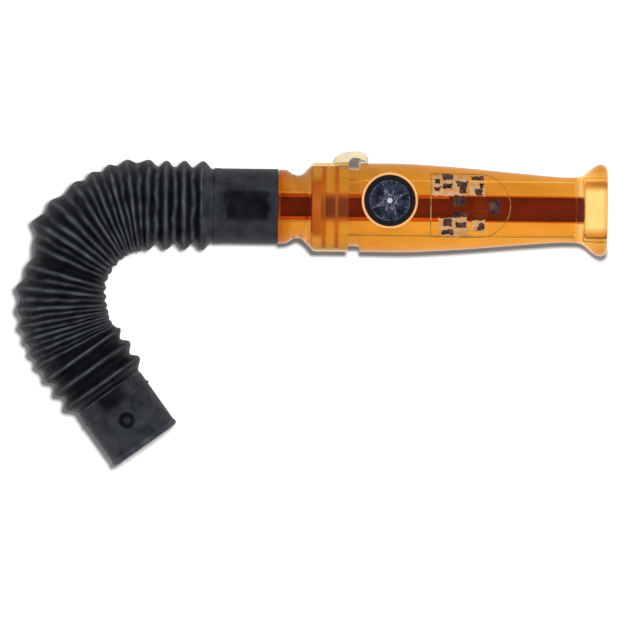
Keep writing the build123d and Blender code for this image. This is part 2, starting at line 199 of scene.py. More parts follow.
def new_material(name, colour, roughness, **settings):
    """Principled material with its constants on the shader's own sockets."""
    material = bpy.data.materials.new(name)
    material.use_nodes = True
    shader = material.node_tree.nodes["Principled BSDF"]
    shader.inputs["Base Color"].default_value = (*colour, 1.0)
    shader.inputs["Roughness"].default_value = roughness
    for socket, value in settings.items():
        shader.inputs[socket.replace("_", " ")].default_value = value
    return material


def add_noise(material, scale, detail=4.0, stretch=(1.0, 1.0, 1.0)):
    """Noise in the object's own coordinates, as its factor output."""
    nodes, links = material.node_tree.nodes, material.node_tree.links
    place = nodes.new("ShaderNodeTexCoord")
    mapping = nodes.new("ShaderNodeMapping")
    mapping.inputs["Scale"].default_value = stretch
    texture = nodes.new("ShaderNodeTexNoise")
    texture.inputs["Scale"].default_value = scale
    texture.inputs["Detail"].default_value = detail
    links.new(place.outputs["Object"], mapping.inputs["Vector"])
    links.new(mapping.outputs["Vector"], texture.inputs["Vector"])
    return texture.outputs["Fac"]


def add_ramp(material, source, *stops):
    """Colour between two (position, colour) stops, as its colour output."""
    ramp = material.node_tree.nodes.new("ShaderNodeValToRGB")
    for element, (position, colour) in zip(ramp.color_ramp.elements, stops):
        element.position = position
        element.color = (*colour, 1.0)
    material.node_tree.links.new(source, ramp.inputs["Fac"])
    return ramp.outputs["Color"]


def add_mix(material, factor, first, second):
    """Mix of a colour output with another, or with a plain colour, by a factor output."""
    nodes, links = material.node_tree.nodes, material.node_tree.links
    mix = nodes.new("ShaderNodeMix")
    mix.data_type = "RGBA"
    links.new(factor, mix.inputs["Factor"])
    links.new(first, mix.inputs["A"])
    if isinstance(second, tuple):
        mix.inputs["B"].default_value = (*second, 1.0)
    else:
        links.new(second, mix.inputs["B"])
    return mix.outputs["Result"]


def add_math(material, operation, *sources):
    """Result of a calculation on one or two outputs."""
    node = material.node_tree.nodes.new("ShaderNodeMath")
    node.operation = operation
    for socket, source in zip(node.inputs, sources):
        material.node_tree.links.new(source, socket)
    return node.outputs["Value"]


def add_fade(material, source, start, end):
    """0 where a place in millimetres is at start, 1 where it is at end."""
    span = material.node_tree.nodes.new("ShaderNodeMapRange")
    span.inputs["From Min"].default_value = start * MM
    span.inputs["From Max"].default_value = end * MM
    material.node_tree.links.new(source, span.inputs["Value"])
    return span.outputs["Result"]


def add_bump(material, source, strength, distance):
    """Bumps on the surface where a texture is high."""
    nodes, links = material.node_tree.nodes, material.node_tree.links
    bump = nodes.new("ShaderNodeBump")
    bump.inputs["Strength"].default_value = strength
    bump.inputs["Distance"].default_value = distance * MM
    links.new(source, bump.inputs["Height"])
    links.new(bump.outputs["Normal"], nodes["Principled BSDF"].inputs["Normal"])


def link_colour(material, source):
    """Base colour from an output."""
    nodes, links = material.node_tree.nodes, material.node_tree.links
    links.new(source, nodes["Principled BSDF"].inputs["Base Color"])


def link_roughness(material, source, low, high):
    """Roughness that follows a texture between two values."""
    nodes, links = material.node_tree.nodes, material.node_tree.links
    span = nodes.new("ShaderNodeMapRange")
    span.inputs["To Min"].default_value = low
    span.inputs["To Max"].default_value = high
    links.new(source, span.inputs["Value"])
    links.new(span.outputs["Result"], nodes["Principled BSDF"].inputs["Roughness"])


def clear_plastic(name, light, dark, clear, bend, roughness):
    """Clear moulding with faint flow marks along the call."""
    material = new_material(name, light, 0.06, IOR=bend, Transmission_Weight=clear,
                            Specular_IOR_Level=0.1)
    flow = add_noise(material, FLOW_GRAIN, 5.0, (0.4, 1.0, 1.0))
    link_colour(material, add_ramp(material, flow, (0.35, dark), (0.62, light)))
    link_roughness(material, add_noise(material, FINE_GRAIN, 2.0), *roughness)
    add_bump(material, flow, 0.05, 0.2)
    return material


def tint_amber(material):
    """Deeper colour towards the rear and on the lip, a red foot by the tube, and a pale mouth."""
    nodes, links = material.node_tree.nodes, material.node_tree.links
    place = nodes.new("ShaderNodeTexCoord")
    split = nodes.new("ShaderNodeSeparateXYZ")
    links.new(place.outputs["Object"], split.inputs["Vector"])
    along = split.outputs["X"]
    across = add_math(material, "ABSOLUTE", split.outputs["Y"])
    rear = add_fade(material, along, *REAR_FADE_X)
    lip = add_math(material, "MULTIPLY", add_fade(material, along, *LIP_FADE_X),
                   add_fade(material, across, *LIP_FADE_Y))
    mouth = add_math(material, "MULTIPLY", add_fade(material, along, *MOUTH_FADE_X),
                     add_fade(material, across, *MOUTH_FADE_Y))
    mouth = add_math(material, "MULTIPLY", mouth, add_fade(material, along, *MOUTH_EDGE_X))
    foot = add_fade(material, along, *FOOT_FADE_X)
    grain = add_noise(material, TINT_GRAIN, 3.0, (0.7, 1.0, 1.0))
    deep_colour = add_ramp(material, grain, (0.35, DEEP_TINT[0]), (0.65, DEEP_TINT[1]))
    foot_colour = add_ramp(material, grain, (0.3, FOOT_TINT[0]), (0.7, FOOT_TINT[1]))
    colour = nodes["Principled BSDF"].inputs["Base Color"].links[0].from_socket
    colour = add_mix(material, add_math(material, "MAXIMUM", rear, lip), colour, deep_colour)
    colour = add_mix(material, foot, colour, foot_colour)
    link_colour(material, add_mix(material, mouth, colour, MOUTH_TINT))


def mottled(name, colour, roughness, shine, grain, *stops):
    """Opaque material whose colour wanders between two (position, colour) stops."""
    material = new_material(name, colour, roughness, Specular_IOR_Level=shine)
    link_colour(material, add_ramp(material, add_noise(material, grain, 3.0), *stops))
    return material


def printing_ink(name, thick, thin):
    """Dull ink that has thinned with wear in places."""
    material = new_material(name, thick, 0.5, Specular_IOR_Level=0.1)
    fade = add_noise(material, INK_GRAIN, 3.0)
    link_colour(material, add_ramp(material, fade, (0.35, thick), (0.68, thin)))
    link_roughness(material, fade, 0.4, 0.6)
    return material


def black_plastic(name):
    """Black moulding with a fine grain."""
    material = new_material(name, (0.008, 0.008, 0.010), 0.45, Specular_IOR_Level=0.15)
    grain = add_noise(material, 700.0, 3.0)
    add_bump(material, grain, 0.2, 0.05)
    link_roughness(material, grain, 0.35, 0.55)
    return material


def tube_rubber(name):
    """Charcoal rubber: paler where its vertex attribute is high; that attribute carries wear from
    rubbing together with painted highlight and painted shade.
    """
    material = new_material(name, (0.02, 0.022, 0.026), 0.5, Specular_IOR_Level=0.08)
    blotch = add_noise(material, 190.0, 6.0)
    deep = add_ramp(material, blotch, (0.3, (0.0015, 0.002, 0.003)), (0.7, (0.006, 0.007, 0.009)))
    # lighter colour, for wear and for painted highlights
    rubbed_and_lit = add_ramp(material, blotch, (0.3, (0.026, 0.029, 0.037)), (0.7, (0.076, 0.081, 0.098)))
    worn = material.node_tree.nodes.new("ShaderNodeAttribute")
    worn.attribute_name = "worn"
    link_colour(material, add_mix(material, worn.outputs["Fac"], deep, rubbed_and_lit))
    link_roughness(material, blotch, 0.38, 0.62)
    add_bump(material, add_noise(material, 900.0, 4.0), 0.35, 0.12)
    return material


def make_materials():
    """Every material of the call, by key."""
    made = {key: clear_plastic(key, *look) for key, look in CLEAR_PLASTICS.items()}
    tint_amber(made["amber"])
    made.update({key: printing_ink(key, *colours) for key, colours in INKS.items()})
    made["dark_red"] = mottled("dark_red", (0.16, 0.003, 0.001), 0.5, 0.05, 90.0,
                               (0.3, (0.095, 0.0012, 0.0008)), (0.7, (0.165, 0.004, 0.0015)))
    made["dial"] = mottled("dial", (0.010, 0.015, 0.03), 0.6, 0.1, 330.0,
                           (0.36, (0.003, 0.004, 0.010)), (0.64, (0.026, 0.034, 0.058)))
    made["dial_marks"] = mottled("dial_marks", (0.08, 0.09, 0.13), 0.6, 0.1, 900.0,
                                 (0.35, (0.012, 0.014, 0.024)), (0.65, (0.14, 0.15, 0.19)))
    made["black_plastic"] = black_plastic("black_plastic")
    made["rubber"] = tube_rubber("rubber")
    # pale grey metal; on the jewel cap this pale grey also paints in the glint on it, a painted
    # highlight
    made["bright_metal"] = new_material("bright_metal", (0.55, 0.54, 0.58), 0.35, Metallic=0.1)
    made["lens"] = new_material("lens", (1.0, 1.0, 1.0), 0.02, IOR=1.15, Transmission_Weight=1.0)
    made["cork"] = new_material("cork", (0.55, 0.38, 0.22), 0.8)
    made["film"] = new_material("film", (0.75, 0.74, 0.68), 0.2, Transmission_Weight=0.6)
    return made


# ---- mesh helpers ----

def shade_smooth(mesh, sharp):
    """Smooth shading but for edges sharper than an angle in degrees."""
    mesh.polygons.foreach_set("use_smooth", [True] * len(mesh.polygons))
    mesh.set_sharp_from_angle(angle=radians(sharp))


def new_piece(name, vertices, faces, material, body=None, slot=None, sharp=35.0):
    """Object from millimetre vertices with one material, which may ride on a body. The slot argument is
    not used.
    """
    mesh = bpy.data.meshes.new(name)
    mesh.from_pydata([Vector(v) * MM for v in vertices], [], faces)
    mesh.validate()
    bm = bmesh.new()
    bm.from_mesh(mesh)
    bmesh.ops.recalc_face_normals(bm, faces=bm.faces)
    bm.to_mesh(mesh)
    bm.free()
    shade_smooth(mesh, sharp)
    mesh.materials.append(material)
    piece = bpy.data.objects.new(name, mesh)
    bpy.context.scene.collection.objects.link(piece)
    if body:
        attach(piece, body)
    return piece


def rounded(corners, radius, steps=4):
    """Closed profile with its corners cut back to curves; a corner may carry its own radius."""
    out = []
    count = len(corners)
    for i, corner in enumerate(corners):
        here = Vector(corner[:2])
        before = Vector(corners[i - 1][:2])
        after = Vector(corners[(i + 1) % count][:2])
        own = corner[2] if len(corner) > 2 else radius
        cut = min(own, (before - here).length * 0.45, (after - here).length * 0.45)
        if cut < 0.01:
            out.append((here.x, here.y))
            continue
        start = here + (before - here).normalized() * cut
        end = here + (after - here).normalized() * cut
        for k in range(steps + 1):
            t = k / steps
            point = start * (1 - t) ** 2 + here * 2 * t * (1 - t) + end * t ** 2
            out.append((point.x, point.y))
    return out


def grid_faces(rows, columns, close_rows=True):
    """Quads of a grid whose columns wrap round, and its rows too if the profile is closed."""
    faces = []
    for i in range(rows if close_rows else rows - 1):
        row, next_row = i * columns, (i + 1) % rows * columns
        for j in range(columns):
            k = (j + 1) % columns
            faces.append((row + j, row + k, next_row + k, next_row + j))
    return faces


def lathe_x(name, profile, material, **settings):
    """Closed solid turned about the X axis, from (x, radius) corners."""
    vertices = []
    for x, r in profile:
        for j in range(AROUND):
            angle = 2 * pi * j / AROUND
            vertices.append((x, r * cos(angle), r * sin(angle)))
    return new_piece(name, vertices, grid_faces(len(profile), AROUND), material, **settings)


def lathe_up(name, centre, profile, material, around=96, **settings):
    """Closed solid turned about an upright axis, from (radius, height) corners."""
    vertices = []
    for r, z in profile:
        for j in range(around):
            angle = 2 * pi * j / around
            vertices.append((centre[0] + r * cos(angle), centre[1] + r * sin(angle), z))
    return new_piece(name, vertices, grid_faces(len(profile), around), material, **settings)


def lathe_disc(name, centre, radius, bottom, top, material, around=96, **settings):
    """Solid round post."""
    vertices = []
    for z in (bottom, top):
        for j in range(around):
            angle = 2 * pi * j / around
            vertices.append((centre[0] + radius * cos(angle), centre[1] + radius * sin(angle), z))
    faces = grid_faces(2, around, close_rows=False)
    faces.append(tuple(reversed(range(around))))
    faces.append(tuple(range(around, 2 * around)))
    return new_piece(name, vertices, faces, material, **settings)


def apply_modifiers(piece):
    """Bake the modifiers into the mesh."""
    graph = bpy.context.evaluated_depsgraph_get()
    mesh = bpy.data.meshes.new_from_object(piece.evaluated_get(graph))
    piece.modifiers.clear()
    piece.data = mesh


def axis_place(face):
    """Place along the X axis and distance from it of a face's centre, in millimetres."""
    return face.center.x / MM, Vector((face.center.y, face.center.z)).length / MM


def hermite(points, x):
    """Height at x of a smooth curve through points sorted by x."""
    slopes = []
    for i in range(len(points)):
        a, b = points[max(i - 1, 0)], points[min(i + 1, len(points) - 1)]
        slopes.append((b[1] - a[1]) / (b[0] - a[0]))
    slopes[0] = slopes[-1] = 0.0
    x = min(max(x, points[0][0]), points[-1][0])
    i = next(k for k in range(len(points) - 1) if x <= points[k + 1][0])
    (x0, y0), (x1, y1) = points[i], points[i + 1]
    wide = x1 - x0
    t = (x - x0) / wide
    return (y0 * (2 * t ** 3 - 3 * t ** 2 + 1) + slopes[i] * wide * (t ** 3 - 2 * t ** 2 + t)
            + y1 * (3 * t ** 2 - 2 * t ** 3) + slopes[i + 1] * wide * (t ** 3 - t ** 2))


# ---- barrel ----

LIP_R = 18.0
MOUTH_CUP_R = 11.5
MOUTH_CUP_DEPTH = 9.0
CUP_FLOOR = 3.0
BARREL_END_X = -97.0
BELLY_R = 17.4
TAIL_R = 15.2
TAIL_END_X = -115.0
GROOVE = 4.4
BORE_R = 10.0
TUBE_R = 5.0
# outside of the barrel from the belly to the mouth, (x, radius)
BARREL_LINE = [(-84.0, BELLY_R), (-75.0, 17.2), (-55.0, 15.9), (-32.0, 13.9), (-15.0, 12.8)]
FLARE_LINE = [(-12.4, 12.83), (-10.6, 13.1), (-8.8, 14.1), (-7.0, 15.7), (-5.4, 17.0),
              (-4.0, 17.75), (-2.8, LIP_R), (-1.6, 17.8), (-0.7, 17.2), (-0.15, 16.3), (0.0, 15.2)]
BARREL_STEPS = 60
# rows along the straight belly and sleeve, so that their faces stay short
BELLY_ROW = 1.2
BELLY_ROWS = 11
SLEEVE_ROWS = 10
# middle of the compass, and the rim and pocket that hold it
COMPASS = (-85.3, 2.7)
RIM_R = 11.05
RIM_TOP = 17.9
POCKET_FLOOR = 12.2


def barrel_radius(x):
    """Outside radius of the barrel behind the flare."""
    if x <= BARREL_LINE[0][0]:
        return BELLY_R
    return hermite(BARREL_LINE, x)


def barrel_profile():
    """Closed outline, (x, radius): belly to lip outside, then back inside and round the tail."""
    first, last = BARREL_LINE[0][0], BARREL_LINE[-1][0]
    rows = [first + (last - first) * i / BARREL_STEPS for i in range(BARREL_STEPS + 1)]
    outside = [(x, barrel_radius(x)) for x in rows] + FLARE_LINE
    floor_x = -MOUTH_CUP_DEPTH
    back_x = floor_x - CUP_FLOOR
    groove_x = BARREL_END_X - GROOVE
    inside = [(0.0, MOUTH_CUP_R, 0.9), (floor_x, MOUTH_CUP_R, 2.0), (floor_x, TUBE_R, 0.2),
              (back_x, TUBE_R, 0.2), (back_x, BORE_R, 1.0), (TAIL_END_X, BORE_R, 0.3),
              (TAIL_END_X, TAIL_R, 0.6), (groove_x, TAIL_R, 0.0), (BARREL_END_X, TAIL_R, 0.15),
              (BARREL_END_X, BELLY_R, 0.7)]
    belly = [(BARREL_END_X + 0.8 + i * BELLY_ROW, BELLY_R, 0.0) for i in range(BELLY_ROWS)]
    return outside + rounded(inside + belly, 0.5)


def make_barrel(mats):
    """Amber barrel with the compass's pocket, a clear bore and a frosted tail."""
    shell = lathe_x("barrel_shell", barrel_profile(), mats["amber"])
    cutter = lathe_disc("pocket_cutter", COMPASS, RIM_R, POCKET_FLOOR, LIP_R + 3.0, mats["amber"])
    cut = shell.modifiers.new("pocket", "BOOLEAN")
    cut.operation = "DIFFERENCE"
    cut.solver = "EXACT"
    cut.object = cutter
    apply_modifiers(shell)
    bpy.data.objects.remove(cutter)
    shade_smooth(shell.data, 35.0)
    shell.data.materials.append(mats["amber_inside"])
    shell.data.materials.append(mats["amber_frost"])
    for face in shell.data.polygons:
        x, reach = axis_place(face)
        in_bore = reach < BORE_R + 0.3
        on_tail = x < BARREL_END_X - GROOVE and reach < TAIL_R + 0.2 and not in_bore
        face.material_index = 2 if on_tail else int(in_bore)
    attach(shell, "barrel")
    shell.visible_shadow = False
    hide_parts("barrel")


# ---- reed and sound tubes ----

TUBE_BORE_R = 4.2
TUBE_JOIN_X = -62.0
TUBE_END_X = -128.0
SOCKET_DEPTH = 6.0
SOCKET_R = 3.4
# gap between the two tubes, and round them
TUBE_FIT = 0.03


def make_tubes(mats):
    """Reed and sound tubes on the axis: a clear red skin over a dark bore."""
    skin, bore = TUBE_R - TUBE_FIT, TUBE_BORE_R - TUBE_FIT
    front_end, socket_end = TUBE_JOIN_X + TUBE_FIT, TUBE_JOIN_X + SOCKET_DEPTH
    front = [(-MOUTH_CUP_DEPTH, TUBE_BORE_R), (-MOUTH_CUP_DEPTH, skin), (front_end, skin),
             (front_end, TUBE_BORE_R)]
    rear = [(TUBE_END_X, SOCKET_R), (TUBE_END_X, skin), (TUBE_JOIN_X, skin), (TUBE_JOIN_X, bore),
            (socket_end, bore), (socket_end, SOCKET_R)]
    for node, profile in (("reed_tube", front), ("sound_tube", rear)):
        piece = lathe_x(node + "_skin", rounded(profile, 0.15), mats["clear_red"], body="barrel",
                        slot="dark_red_plastic")
        piece.data.materials.append(mats["dark_red"])
        for face in piece.data.polygons:
            _, reach = axis_place(face)
            face.material_index = int(reach < TUBE_BORE_R + 0.05)
        piece.visible_shadow = False
        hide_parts(node)


# ---- compass ----

HOUSING_R = 10.0
HOUSING_BOTTOM = 12.25
HOUSING_FLOOR = 13.1
LEDGE_TOP = 16.2
RING_R = 8.5
RING_TOP = 17.75
LENS_R = 8.45
CARD_R = 8.2
CARD_TOP = 15.3
CARD_THICK = 0.4
# the smallest radius that a lathe starts from
AXIS_R = 0.001
# scale and rose of the card: turn of the whole, radii and half widths of the marks
DIAL_TURN = 24.0
MARK_THICK = 0.08
SCALE_R = 7.6
SCALE_LINE = 0.25
SCALE_STEPS = 96
SCALE_MARKS = 24
LONG_MARK = (6.2, 0.16)
SHORT_MARK = (6.7, 0.09)
ROSE_ARMS = 8
LONG_ARM = (5.8, 1.15)
SHORT_ARM = (4.3, 0.75)
ROSE_ROOT_R = 1.3
ROSE_WAIST_R = 2.1


def make_compass(mats):
    """Amber rim, black housing with its ring, and lens."""
    inner, outer = HOUSING_R + 0.06, RIM_R - 0.02
    rim = rounded([(inner, POCKET_FLOOR, 0.1), (outer, POCKET_FLOOR, 0.1), (outer, RIM_TOP, 0.7),
                   (inner, RIM_TOP, 0.5)], 0.3)
    lathe_up("compass_rim", COMPASS, rim, mats["amber_rim"], body="barrel", slot="amber_plastic")
    cup = rounded([(8.3, HOUSING_FLOOR, 0.1), (8.3, LEDGE_TOP, 0.1), (8.95, LEDGE_TOP, 0.05),
                   (8.95, 17.15, 0.05), (RING_R, 17.2, 0.1), (RING_R, RING_TOP, 0.25),
                   (HOUSING_R, RING_TOP, 0.35), (HOUSING_R, HOUSING_BOTTOM, 0.2),
                   (0.0, HOUSING_BOTTOM, 0.0), (0.0, HOUSING_FLOOR, 0.0)], 0.2)
    cup = [(max(r, AXIS_R), z) for r, z in cup]
    piece = lathe_up("compass_ring", COMPASS, cup, mats["black_plastic"], body="barrel",
                     slot="black_plastic")
    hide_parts("compass_cup", "compass_retainer")
    lens = [(AXIS_R, 17.62), (3.0, 17.55), (5.5, 17.4), (7.5, 17.25), (LENS_R, 17.15), (LENS_R, 16.3),
            (AXIS_R, 16.3)]
    piece = lathe_up("lens_dome", COMPASS, lens, mats["lens"], body="barrel", slot="lens_glass")
    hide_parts("compass_lens")


def spin(angle, points):
    """Points given along and across a spoke, turned to the spoke's angle."""
    return [(along * cos(angle) - across * sin(angle), along * sin(angle) + across * cos(angle))
            for along, across in points]


def dial_plates():
    """Outlines of the card's raised marks: its scale, its rose and the ring round them."""
    plates = []
    for i in range(SCALE_MARKS):
        inner, half = LONG_MARK if i % 3 == 0 else SHORT_MARK
        mark = [(inner, -half), (SCALE_R, -half), (SCALE_R, half), (inner, half)]
        plates.append(spin(2 * pi * i / SCALE_MARKS + radians(DIAL_TURN), mark))
    for i in range(ROSE_ARMS):
        reach, half = LONG_ARM if i % 2 == 0 else SHORT_ARM
        arm = [(ROSE_ROOT_R, 0.0), (ROSE_WAIST_R, -half), (reach, -half * 0.2), (reach, half * 0.2),
               (ROSE_WAIST_R, half)]
        plates.append(spin(2 * pi * i / ROSE_ARMS + radians(DIAL_TURN), arm))
    edges = [(SCALE_R, 0), (SCALE_R + SCALE_LINE, 0)]
    for i in range(SCALE_STEPS):
        a, b = 2 * pi * i / SCALE_STEPS, 2 * pi * (i + 1) / SCALE_STEPS
        plates.append(spin(a, edges) + spin(b, edges[::-1]))
    return plates


def make_dial(mats):
    """Card with a rim scale and an eight-armed rose, and its jewel cap."""
    card = rounded([(AXIS_R, CARD_TOP - CARD_THICK, 0.0), (CARD_R, CARD_TOP - CARD_THICK, 0.1),
                    (CARD_R, CARD_TOP, 0.1), (AXIS_R, CARD_TOP, 0.0)], 0.1)
    piece = lathe_up("dial_card", COMPASS, card, mats["dial"], body="compass_card",
                     slot="compass_dial")
    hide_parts("compass_card")
    vertices, faces = [], []
    for points in dial_plates():
        start, count = len(vertices), len(points)
        for z in (CARD_TOP, CARD_TOP + MARK_THICK):
            vertices += [(COMPASS[0] + x, COMPASS[1] + y, z) for x, y in points]
        faces.append(tuple(start + count + i for i in range(count)))
        for i in range(count):
            k = (i + 1) % count
            faces.append((start + i, start + k, start + count + k, start + count + i))
    new_piece("dial_marks", vertices, faces, mats["dial_marks"], body="compass_card",
              slot="compass_dial")
    # the cap's pale grey partly stands in for its glint, a painted highlight
    cap = rounded([(AXIS_R, 14.6, 0.0), (1.15, 14.6, 0.1), (1.15, 15.5, 0.2), (0.6, 15.95, 0.3),
                   (AXIS_R, 16.05, 0.0)], 0.2)
    piece = lathe_up("jewel_cap", COMPASS, cap, mats["bright_metal"], around=48,
                     body="compass_card", slot="brass")
    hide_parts("compass_jewel")


# ---- connector and lanyard lug ----

SLEEVE_BORE_R = TAIL_R + 0.08
SLEEVE_END_X = -116.0
PASSAGE_R = 5.35
FLANGE_R = 14.5
FLANGE_X = -128.8
SPIGOT_R = 12.4
SPIGOT_BORE_R = 10.4
SPIGOT_END_X = -147.0
NECK_LINE = [(-118.2, 14.1), (-118.9, 13.2), (-119.8, 12.6), (-121.0, 12.33), (-122.2, 12.4),
             (-123.3, 12.8), (-124.3, 13.5), (-125.2, 14.15)]
# side view of the lug, (x, y, corner radius): over its back and nose, then through its eye
LUG_LINE = [(-107.4, 17.2, 0.2), (-106.6, 19.4, 1.5), (-104.4, 21.2, 2.0), (-98.6, 22.2, 2.5),
            (-95.2, 21.3, 2.0), (-93.8, 19.2, 1.2), (-93.8, 17.78, 0.3), (-97.5, 19.4, 1.0),
            (-100.0, 19.4, 1.0), (-101.4, 17.9, 0.6), (-101.4, 17.45, 0.2)]
LUG_MIDDLE = (-101.0, 19.6)
LUG_HALF = 3.0
# rounding of its two sides: (distance in from the side, how far the outline draws in there)
LUG_EDGE = [(0.0, 0.42), (0.25, 0.15), (0.8, 0.0)]


def make_connector(mats):
    """Rear connector: sleeve over the tail, shoulder, neck, flange, and spigot in the tube."""
    front = BARREL_END_X - GROOVE
    sleeve = [(front - 0.8 - i * BELLY_ROW, BELLY_R, 0.0) for i in range(SLEEVE_ROWS)]
    outline = ([(front, SLEEVE_BORE_R, 0.1), (front, BELLY_R, 0.6)] + sleeve
               + [(-114.9, BELLY_R, 1.2)] + [(x, r, 0.0) for x, r in NECK_LINE]
               + [(-126.0, FLANGE_R, 0.4), (FLANGE_X, FLANGE_R, 0.5), (FLANGE_X, SPIGOT_R, 0.1),
                  (SPIGOT_END_X, SPIGOT_R, 0.6), (SPIGOT_END_X, SPIGOT_BORE_R, 0.3),
                  (-130.8, SPIGOT_BORE_R, 0.5), (FLANGE_X, PASSAGE_R, 0.3),
                  (SLEEVE_END_X, PASSAGE_R, 0.3), (SLEEVE_END_X, SLEEVE_BORE_R, 0.4)])
    piece = lathe_x("connector_shell", rounded(outline, 0.4), mats["amber"], body="connector",
                    slot="amber_plastic", sharp=40.0)
    piece.data.materials.append(mats["amber_inside"])
    piece.data.materials.append(mats["amber_thin"])
    for face in piece.data.polygons:
        x, reach = axis_place(face)
        inside = reach < PASSAGE_R + 0.25 or (x > SLEEVE_END_X - 0.5 and reach < SLEEVE_BORE_R + 0.2)
        on_sleeve = x > SLEEVE_END_X + 0.4 and reach >= SLEEVE_BORE_R + 0.2
        face.material_index = 2 if on_sleeve else int(inside)
    piece.visible_shadow = False
    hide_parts("tube_connector")


def make_lug(mats):
    """Arched lug with softened edges, closed down on to the sleeve."""
    outline = rounded(LUG_LINE, 0.5, 6)
    count = len(outline)
    middle = Vector(LUG_MIDDLE)
    layers = [(-LUG_HALF + deep, inset) for deep, inset in LUG_EDGE]
    layers += [(LUG_HALF - deep, inset) for deep, inset in reversed(LUG_EDGE)]
    vertices = []
    for z, inset in layers:
        sleeve_y = sqrt((BELLY_R + 0.02) ** 2 - z * z)
        for x, y in outline:
            point = Vector((x, y))
            point -= (point - middle).normalized() * inset
            vertices.append((point.x, max(point.y, sleeve_y), z))
    faces = grid_faces(len(layers), count, close_rows=False)
    faces.append(tuple(range(count)))
    faces.append(tuple((len(layers) - 1) * count + i for i in reversed(range(count))))
    piece = new_piece("lanyard_lug", vertices, faces, mats["pale_amber"], body="connector",
                      slot="pale_amber_plastic", sharp=50.0)
    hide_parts("lanyard_loop")


# ---- light through the amber ----

# the dark line reaches this far inside and outside the rim
SHADE_INSIDE = 3.2
SHADE_OUTSIDE = 1.15
# patch over the lug's eye
EYE_SHADE = [(-101.6, 15.6), (-96.5, 15.6), (-96.5, 20.3), (-101.6, 20.3)]
# colour of the light that has come through the amber, on the -Y and on the +Y side
LOW_STAIN = (0.96, 0.73, 0.43)
HIGH_STAIN = (0.74, 0.55, 0.28)
# pieces whose names start so would throw their shadow through the amber, so they cast none
SHADOWLESS = ("compass_", "lens_", "dial_", "jewel_", "print_")


def stained_light(name, colour):
    """Film that only colours the light that falls through it."""
    material = bpy.data.materials.new(name)
    material.use_nodes = True
    nodes, links = material.node_tree.nodes, material.node_tree.links
    nodes.remove(nodes["Principled BSDF"])
    film = nodes.new("ShaderNodeBsdfTransparent")
    film.inputs["Color"].default_value = (*colour, 1.0)
    links.new(film.outputs["BSDF"], nodes["Material Output"].inputs["Surface"])
    return material


def amber_line():
    """Half width of the amber along the axis, (x, radius), from the flange to the lip."""
    groove_x = BARREL_END_X - GROOVE
    line = [(FLANGE_X, FLANGE_R), NECK_LINE[-1], NECK_LINE[3], NECK_LINE[0], (-115.5, BELLY_R),
            (groove_x, BELLY_R), (groove_x, TAIL_R), (BARREL_END_X, TAIL_R)]
    line += [(x, barrel_radius(x)) for x in range(int(BARREL_END_X), int(BARREL_LINE[-1][0]), 2)]
    return line + FLARE_LINE


def hide_shadows():
    """No shadows from the small pieces on the barrel."""
    for piece in bpy.data.objects:
        if piece.name.startswith(SHADOWLESS):
            piece.visible_shadow = False


def make_rim_shade():
    """Unseen card at mid height, for the shadow that the amber's own pieces don't cast.

    It is opaque along the -Y rim, which faces away from the lamp, and over the lug's eye. The rest
    is stained, more deeply on the +Y side, but not over the mouth cup.
    """
    line = amber_line()
    split = [MOUTH_CUP_R if x > -MOUTH_CUP_DEPTH - 1.0 else 0.0 for x, _ in line]
    bands = [[(-r - SHADE_OUTSIDE, -r + SHADE_INSIDE) for _, r in line],
             [(y, -r + SHADE_INSIDE) for y, (_, r) in zip(split, line)],
             [(y, r) for y, (_, r) in zip(split, line)]]
    vertices, faces, layers = [], [], []
    for layer, band in enumerate(bands):
        start = len(vertices)
        for (x, _), (low, high) in zip(line, band):
            vertices += [(x, low, 0.0), (x, high, 0.0)]
        for i in range(start, len(vertices) - 2, 2):
            faces.append((i, i + 1, i + 3, i + 2))
            layers.append(layer)
    start = len(vertices)
    vertices += [(x, y, 0.0) for x, y in EYE_SHADE]
    faces.append(tuple(range(start, len(vertices))))
    layers.append(0)
    card = new_piece("rim_shade", vertices, faces, bpy.data.materials["floor_white"])
    card.data.materials.append(stained_light("low_stain", LOW_STAIN))
    card.data.materials.append(stained_light("high_stain", HIGH_STAIN))
    card.data.polygons.foreach_set("material_index", layers)
    for seen_by in ("camera", "diffuse", "glossy", "transmission"):
        setattr(card, "visible_" + seen_by, False)


# ---- corrugated tube ----

RIB_R = 17.6
ROOT_R = 14.4
CUFF_R = 14.7
WALL = 1.3
NEAR_CUFF_START_X = -128.9
NEAR_CUFF_END_X = -154.4
NEAR_CUFF_LONG = NEAR_CUFF_START_X - NEAR_CUFF_END_X
FAR_CUFF_LONG = 25.0
NEAR_BORE_R = 12.5
FAR_BORE_R = 13.2
CUFF_STEPS = 100
# near cuff: start of its end band, and middle, half length and half angle of its dull panel
NEAR_BAND = 22.5
NEAR_PANEL = (12.0, 10.4, 30.0)
# far cuff: middle of its raised band, place and radius of its round mark, and length of its rim
FAR_BAND = 5.0
FAR_MARK = (12.8, -0.4, 2.3)
FAR_RIM = 2.2
# one entry per fold, from the near cuff to the far cuff, as the part's own route has them
PITCHES = [4.1, 7.3, 7.1, 7.0, 5.9, 5.1, 4.9, 4.8, 7.0, 7.2, 6.0, 6.3,
           6.4, 6.0, 4.7, 3.9, 4.0, 3.8, 4.3, 6.6, 7.0, 4.6]
TURNS = [0, 0, 0, 0, 8, 8, 8, 9, 11, 12, 10, 9, 10, 9, 7, 6, 6, 5, 8, 0, 0, 0]
LEANS = [0, 0, 0, 0, -1, 4, 4, 4, 4, 2, 5, 4, 4, 4, 1, 4, 3, 6, 10, 0, -1, 0]
FOLD_STEPS = 22
INNER_STEPS = 8
# how uneven a rib's radius is, how far it wanders along, and how far two kinked ribs lean out
RIB_UNEVEN = 0.22
RIB_WANDER = 0.30
RIB_LEAN = 1.6
LEANING_RIBS = (9, 10)
# a fold's depth for each millimetre of its length, and its deepest
FOLD_SLOPE = 0.45
FOLD_DEEPEST = 2.6
